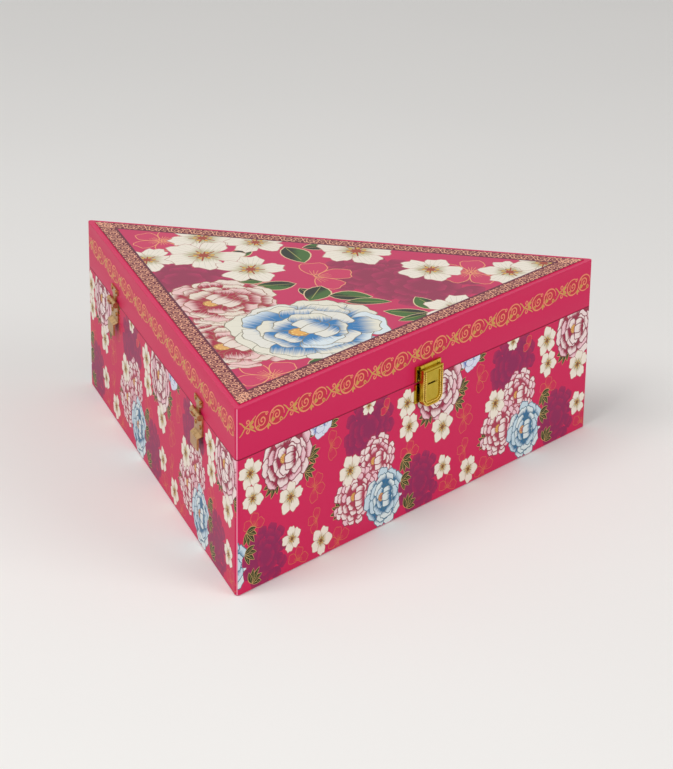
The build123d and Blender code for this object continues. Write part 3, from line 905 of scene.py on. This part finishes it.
# %% Shape the insert
well_radius = 35.0
well_folds = 26
drape_depth = 12
insert_quad = 1.3
pad_quad = 1.2
wells = []
for opening in frame["record"]["physics"]["openings"]:
    if opening["name"].endswith("jar_well"):
        low, high = (Vector(corner) / mm for corner in opening["box_m"])
        wells.append((low + high) / 2)
insert_low, insert_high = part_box("insert_satin_cover")
insert_inner = -insert_low.y / mm
insert_top = insert_high.z / mm
insert = soft_copy("satin_covered_insert", "jar_insert", insert_quad * mm)
for vertex in insert.data.vertices:
    point = vertex.co / mm
    upper = min(max((point.z - insert_top + drape_depth) / drape_depth, 0.0), 1.0)
    edge, along = wall_distance(point, insert_inner)
    # The cloth is drawn down at the walls and stands a little high between them, unevenly, with
    # small gathers along each wall. Round a well it sinks into the mouth and folds.
    sink = 1.2 * math.exp(-(edge / 5) ** 2) - 0.5 * (1 - math.exp(-edge / 8))
    sink += 0.45 * noise.noise(Vector((point.x / 13, point.y / 13, 0)))
    sink += 0.35 * math.exp(-edge / 3) * math.sin(along * math.tau / 7 + 2 * math.sin(along / 9))
    for number, well in enumerate(wells):
        spoke = Vector((point.x - well.x, point.y - well.y))
        gap = max(spoke.length - well_radius, 0.0)
        turn = math.atan2(spoke.y, spoke.x)
        wave = well_folds * turn + 1.3 * math.sin(3 * turn + number) + 0.7 * math.sin(7 * turn)
        fold = (0.5 + 0.5 * math.cos(wave)) ** 2
        sink += 1.3 * math.exp(-(gap / 4.5) ** 2) + 0.9 * fold * math.exp(-gap / 6)
        if gap < 1.0:
            deep = min((insert_top - point.z) / 40, 1.0)
            spread = spoke.normalized() * (0.8 * fold * (1 - 0.5 * deep))
            point.x += spread.x
            point.y += spread.y
    point.z -= sink * upper ** 2
    vertex.co = point * mm
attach(insert, "base")
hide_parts("jar_insert", "insert_satin_cover")
print("Wells at", [tuple(round(value, 1) for value in well.xy) for well in wells])

# %% [markdown]
# ## The pads
# A thin satin pad lies under the jars, and a fuller one is glued inside the lid. Both are crowned:
# the lower one can only rise inside the wells, where the insert doesn't press on it, and the lid's
# pad swells between its tucked edges, with shallow puckers where the cloth is turned over.

# %% Crown the pads
floor_cushion = soft_copy("satin_faced_floor_pad", "floor_pad", pad_quad * mm)
floor_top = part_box("floor_pad")[1].z / mm
for vertex in floor_cushion.data.vertices:
    point = vertex.co / mm
    nearest = min((point.xy - well.xy).length for well in wells)
    swell = max(1 - (nearest / (well_radius - 2)) ** 2, 0.0) if point.z > floor_top - 1.5 else 0.0
    point.z += 1.2 * swell * (1 + 0.3 * noise.noise(Vector((point.x / 9, point.y / 9, 1))))
    vertex.co = point * mm
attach(floor_cushion, "base")
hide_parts("floor_pad")

pad_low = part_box("lid_pad_satin_cover")[0]
pad_inner = -pad_low.y / mm
lid_cushion = soft_copy("satin_lid_cushion", "lid_pad_satin_cover", pad_quad * mm)
for vertex in lid_cushion.data.vertices:
    point = vertex.co / mm
    if point.z < pad_low.z / mm + 2.0:
        edge, along = wall_distance(point, pad_inner)
        pucker = 0.35 * math.exp(-edge / 5) * math.sin(along * math.tau / 6.5 + 2 * math.sin(along / 11))
        point.z -= 1.8 * (1 - math.exp(-edge / 12)) + pucker - 0.7 * math.exp(-edge / 2)
        point.z += 0.5 * noise.noise(Vector((point.x / 20, point.y / 20, 2)))
        point.z += 0.3 * noise.noise(Vector(((point.x + point.y) / 7, (point.x - point.y) / 30, 3)))
    vertex.co = point * mm
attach(lid_cushion, "lid")
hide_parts("lid_pad", "lid_pad_satin_cover")
print("The lid pad's sides are", round(pad_inner, 1), "mm from its middle")

# %% Satin
# Woven polyester satin: long floating threads give a soft streak of light, in warm gold.
satin, tree, shader = new_material("gold_polyester_satin", Roughness=0.32, Sheen_Weight=0.3,
                                   Sheen_Roughness=0.35, Specular_IOR_Level=0.7)
place = add(tree, "ShaderNodeTexCoord")
threads = add(tree, "ShaderNodeMapping", {"Vector": place.outputs["Object"]}, Scale=(180.0, 2600.0, 2600.0))
weave = add(tree, "ShaderNodeTexNoise", {"Vector": threads.outputs[0]}, Scale=1.0, Detail=2.0)
tone = add(tree, "ShaderNodeMix", {0: weave.outputs[0]}, {"data_type": "RGBA"},
           _6=colour("#C8943A"), _7=colour("#ECC470"))
tree.links.new(tone.outputs[2], shader.inputs["Base Color"])
relief = add(tree, "ShaderNodeBump", {"Height": weave.outputs[0]}, Strength=0.25, Distance=0.0002)
tree.links.new(relief.outputs[0], shader.inputs["Normal"])
for piece in (insert, floor_cushion, lid_cushion):
    piece.data.materials.append(satin)
print("Satin on three pads")

# %% [markdown]
# ## The beaded border of the catch
# The catch's flap is pressed from thin sheet, and its raised border is milled into small beads. A
# displacement would need a very fine mesh, so one low bead is modelled and copied along two lines
# that run inside the border's ribs, round its rounded corners.

# %% Line up the beads
bead_radius = 0.36
bead_spacing = 0.92
bead_sink = 0.06
bead_insets = (0.35, 1.6)
border_top = 62.6
flap_corner = 4.0
corner_steps = 8


def border_line(inset, half, top, bottom, corner):
    """A line down one side of the flap, round its foot and up the other side, in x and z."""
    radius = corner - inset
    half -= inset
    bottom += inset
    line = [Vector((-half, top)), Vector((-half, bottom + radius))]
    for step in range(1, corner_steps + 1):
        turn = math.pi + math.pi / 2 * step / corner_steps
        across = -half + radius + radius * math.cos(turn)
        line.append(Vector((across, bottom + radius + radius * math.sin(turn))))
    return line + [Vector((-point.x, point.y)) for point in reversed(line)]


def spaced(line, gap):
    """Points a gap apart along a line."""
    spots = [line[0]]
    left = gap
    for start, end in zip(line, line[1:]):
        length = (end - start).length
        while left <= length:
            spots.append(start.lerp(end, left / length))
            left += gap
        left -= length
    return spots


flap_low, flap_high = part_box("catch_flap")
flap_half = flap_high.x / mm
flap_foot = flap_low.z / mm
beads = []
bpy.ops.object.select_all(action="DESELECT")
bpy.ops.mesh.primitive_uv_sphere_add(segments=8, ring_count=5, radius=bead_radius * mm, location=(0, 0, 0))
bead = bpy.context.object
bpy.ops.object.shade_smooth()
for inset in bead_insets:
    for spot in spaced(border_line(inset, flap_half, border_top, flap_foot, flap_corner), bead_spacing):
        copy = bead.copy()
        copy.data = bead.data.copy()
        copy.location = Vector((spot.x * mm, flap_low.y + bead_sink * mm, spot.y * mm))
        bpy.context.collection.objects.link(copy)
        beads.append(copy)
pick(bead)
for copy in beads:
    copy.select_set(True)
bead.location = beads[0].location
bpy.ops.object.join()
bead.name = "catch_border_beads"
bpy.ops.object.transform_apply(location=True, rotation=True, scale=True)
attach(bead, "catch_flap")
print("Beads on the catch:", len(beads))

# %% [markdown]
# ## Metal
# The catch is polished and plated in yellow gold, and the hinges are duller, with a thin worn
# plating over steel. A metal's look is mostly its surroundings, so its own colour is given, and
# the roughness says how sharply it mirrors: low on the catch, higher and uneven on the hinges.

# %% Catch, hinges and nails
def plated_metal(name, pale, deep, smooth, worn, grain, strength):
    """A plated metal with cloudy colour, cloudy gloss and a fine grain."""
    metal, tree, shader = new_material(name, Metallic=1.0)
    place = add(tree, "ShaderNodeTexCoord")
    cloud = add(tree, "ShaderNodeTexNoise", {"Vector": place.outputs["Object"]}, Scale=420.0, Detail=3.0)
    tone = add(tree, "ShaderNodeMix", {0: cloud.outputs[0]}, {"data_type": "RGBA"},
               _6=colour(deep), _7=colour(pale))
    gloss = add(tree, "ShaderNodeMapRange", {"Value": cloud.outputs[0]}, _1=0.3, _2=0.7, _3=smooth, _4=worn)
    scratch = add(tree, "ShaderNodeTexNoise", {"Vector": place.outputs["Object"]}, Scale=grain, Detail=1.0)
    relief = add(tree, "ShaderNodeBump", {"Height": scratch.outputs[0]}, Strength=strength, Distance=0.0002)
    tree.links.new(tone.outputs[2], shader.inputs["Base Color"])
    tree.links.new(gloss.outputs[0], shader.inputs["Roughness"])
    tree.links.new(relief.outputs[0], shader.inputs["Normal"])
    return metal


# Yellow gold plating over pressed brass, polished and lacquered.
gold_plate = plated_metal("polished_gold_plate", "#D8BC48", "#AC9426", 0.14, 0.28, 2500.0, 0.1)
dress(gold_plate, "catch_plate", "catch_flap", "catch_keeper", "catch_pin")
# The beads get a paler gold than the flap: a painted highlight, so that each bead shows as a bright dot.
bead_highlight_gold = plated_metal("bead_highlight_gold_plate", "#EACD80", "#CCA648", 0.22, 0.34, 2500.0, 0.05)
bead.data.materials.append(bead_highlight_gold)
# Thin antique brass plating over stamped steel, dull and a little brown.
antique_brass = plated_metal("antique_brass_plate", "#E0B880", "#8A6436", 0.24, 0.42, 1800.0, 0.2)
dress(antique_brass, "front_hinge_lid_leaf", "rear_hinge_lid_leaf", "front_hinge_base_leaf",
      "rear_hinge_base_leaf", "front_hinge_pin", "rear_hinge_pin")
# Nail heads: copper-coloured plating over hard steel.
nail_plate = plated_metal("coppered_nail_plate", "#C08A4A", "#8C5A28", 0.25, 0.4, 2200.0, 0.12)
dress(nail_plate, "hinge_lid_nails", "hinge_base_nails", "catch_plate_nails", "catch_keeper_nails")
print("Metals:", gold_plate.name, antique_brass.name, nail_plate.name)

# %% [markdown]
# ## Board and plain papers
# Under the print everything is paper. The wrap that carries the print is the same laminated
# paper, seen only at its turned edges. The lining is plain pink paper, the foot is a dark red
# sheet, and the walls and panels are solid fibreboard whose cut edges show brown fibres.

# %% Paper and board
def fibrous(name, pale, deep, rough, gloss, size, strength):
    """A paper or board: cloudy colour and a fibre relief of a given size in mm."""
    material, tree, shader = new_material(name, Roughness=rough, Specular_IOR_Level=gloss)
    place = add(tree, "ShaderNodeTexCoord")
    cloud = add(tree, "ShaderNodeTexNoise", {"Vector": place.outputs["Object"]}, Scale=1000 / size,
                Detail=4.0, Roughness=0.6)
    tone = add(tree, "ShaderNodeMix", {0: cloud.outputs[0]}, {"data_type": "RGBA"},
               _6=colour(deep), _7=colour(pale))
    fibre = add(tree, "ShaderNodeTexNoise", {"Vector": place.outputs["Object"]}, Scale=fibre_scale,
                Detail=3.0)
    relief = add(tree, "ShaderNodeBump", {"Height": fibre.outputs[0]}, Strength=strength, Distance=0.0003)
    tree.links.new(tone.outputs[2], shader.inputs["Base Color"])
    tree.links.new(relief.outputs[0], shader.inputs["Normal"])
    return material


wrap_paper = fibrous("laminated_pink_paper", "#D62A60", "#CC1A52", 0.45, 0.2, 12.0, 0.12)
dress(wrap_paper, "base_wrap_paper", "lid_wrap_paper", "lid_top_print")
lining = fibrous("uncoated_pink_lining_paper", "#D0305E", "#BE2450", 0.75, 0.2, 4.0, 0.35)
dress(lining, "base_lining_paper", "lid_lining_paper")
foot_paper = fibrous("dark_red_foot_paper", "#7A2034", "#651828", 0.8, 0.2, 3.0, 0.4)
dress(foot_paper, "base_bottom_paper")
board = fibrous("solid_fibreboard", "#C09A6C", "#957046", 0.9, 0.15, 1.5, 0.6)
dress(board, "base_front_wall", "base_left_wall", "base_right_wall", "base_bottom_panel",
      "lid_front_wall", "lid_left_wall", "lid_right_wall", "lid_top_panel")
print("Papers and board on", len(frame["nodes"]), "nodes")

# %% Measure and finish
size = {"cad": [list(corner) for corner in cad_box], "visual": [list(corner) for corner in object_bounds()]}
